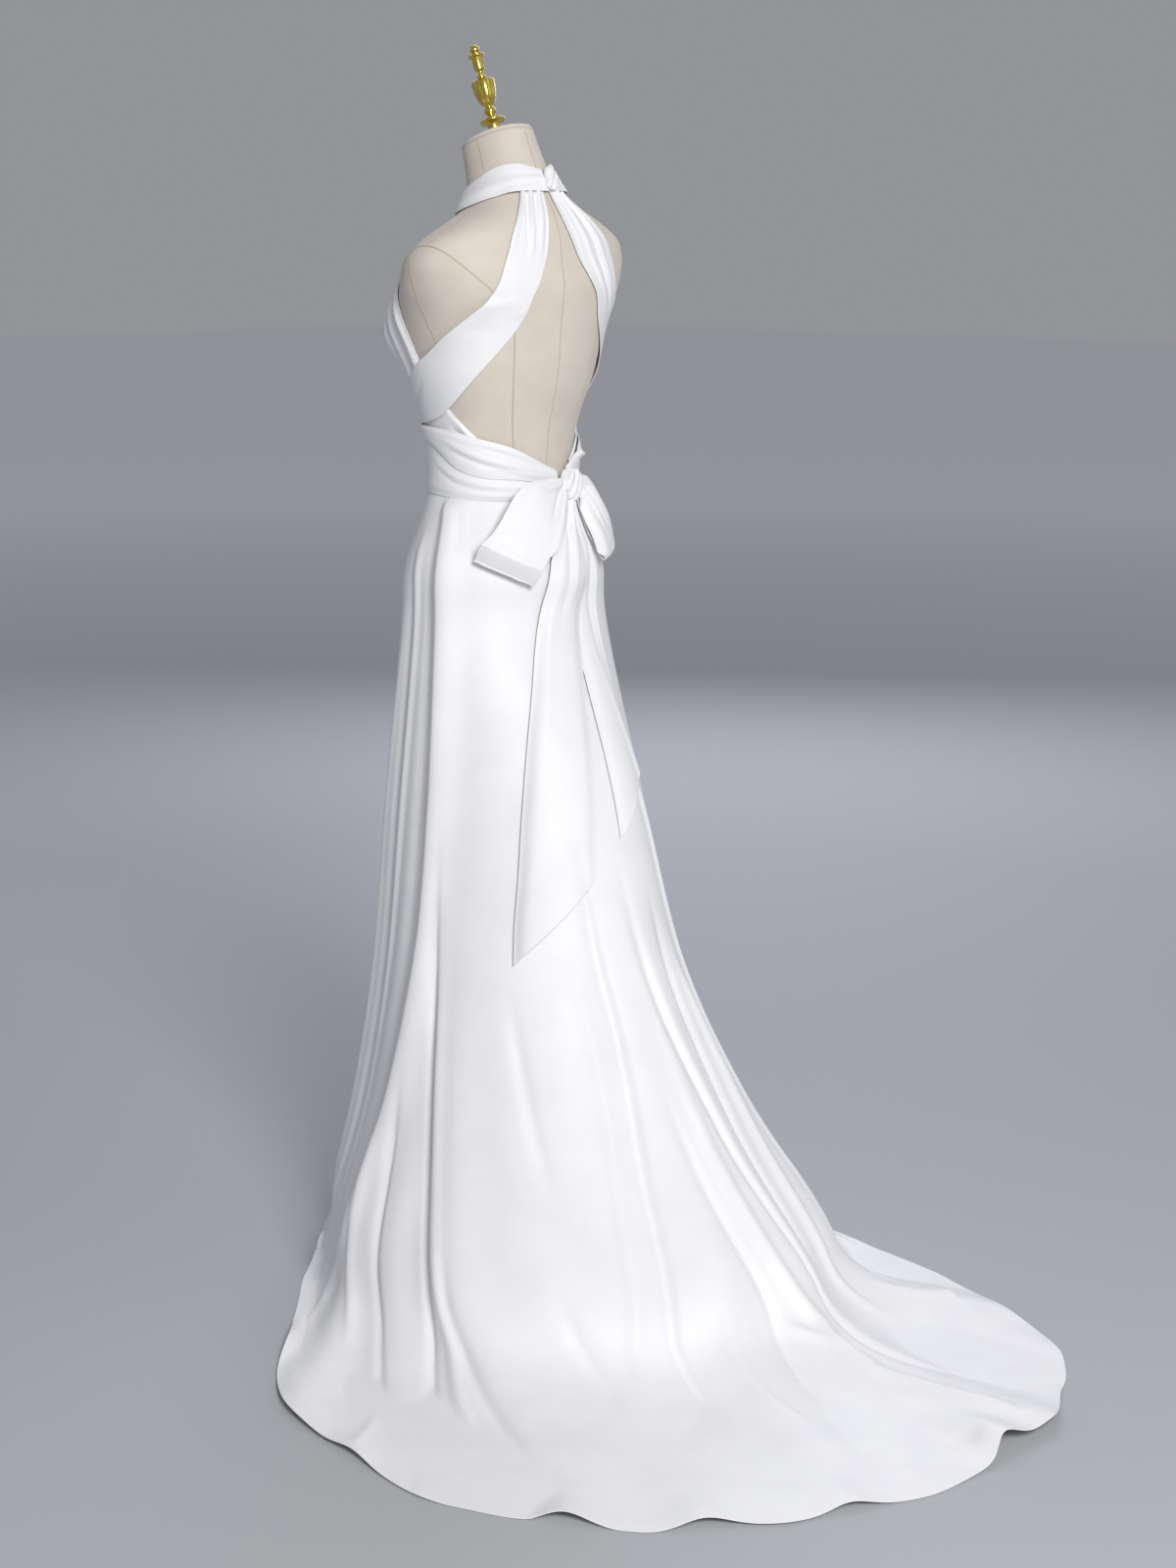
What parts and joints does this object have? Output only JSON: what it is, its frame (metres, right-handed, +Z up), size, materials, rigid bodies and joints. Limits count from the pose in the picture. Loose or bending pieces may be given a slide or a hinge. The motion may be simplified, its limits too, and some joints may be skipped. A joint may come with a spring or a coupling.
{
  "type": "wedding dress on a dress form",
  "caption": "White satin halter wedding dress with an open back, a bow and a sweeping train, standing on a limbless dress form with a turned finial.",
  "frame": {"origin": "centre of the stand base's flat underside, on the floor under the form's axis", "axes": "+Z up, the form faces -Y, its left is +X, and the train runs out towards +Y"},
  "size_m": [1.0704, 1.2912, 1.7627],
  "materials": {
    "bridal_satin": "smooth white satin with a soft sheen",
    "form_cover": "cream knitted cover, stretched smooth, matte",
    "polished_brass": "turned and polished",
    "stand_steel": "plain satin steel"
  },
  "bodies": {
    "root": {"back_strap_left": "bridal_satin", "back_strap_right": "bridal_satin", "bodice_left": "bridal_satin", "bodice_right": "bridal_satin", "bow_knot": "bridal_satin", "bow_loop_left": "bridal_satin", "bow_loop_right": "bridal_satin", "bow_tail_left": "bridal_satin", "bow_tail_right": "bridal_satin", "finial_foot": "polished_brass", "finial_top": "polished_brass", "finial_urn": "polished_brass", "form_neck_cap": "form_cover", "form_torso": "form_cover", "nape_knot": "bridal_satin", "neckband": "bridal_satin", "sash_lower": "bridal_satin", "sash_upper": "bridal_satin", "skirt_back_left": "bridal_satin", "skirt_back_right": "bridal_satin", "skirt_front": "bridal_satin", "stand_base": "stand_steel", "stand_pole": "stand_steel"}
  },
  "joints": []
}
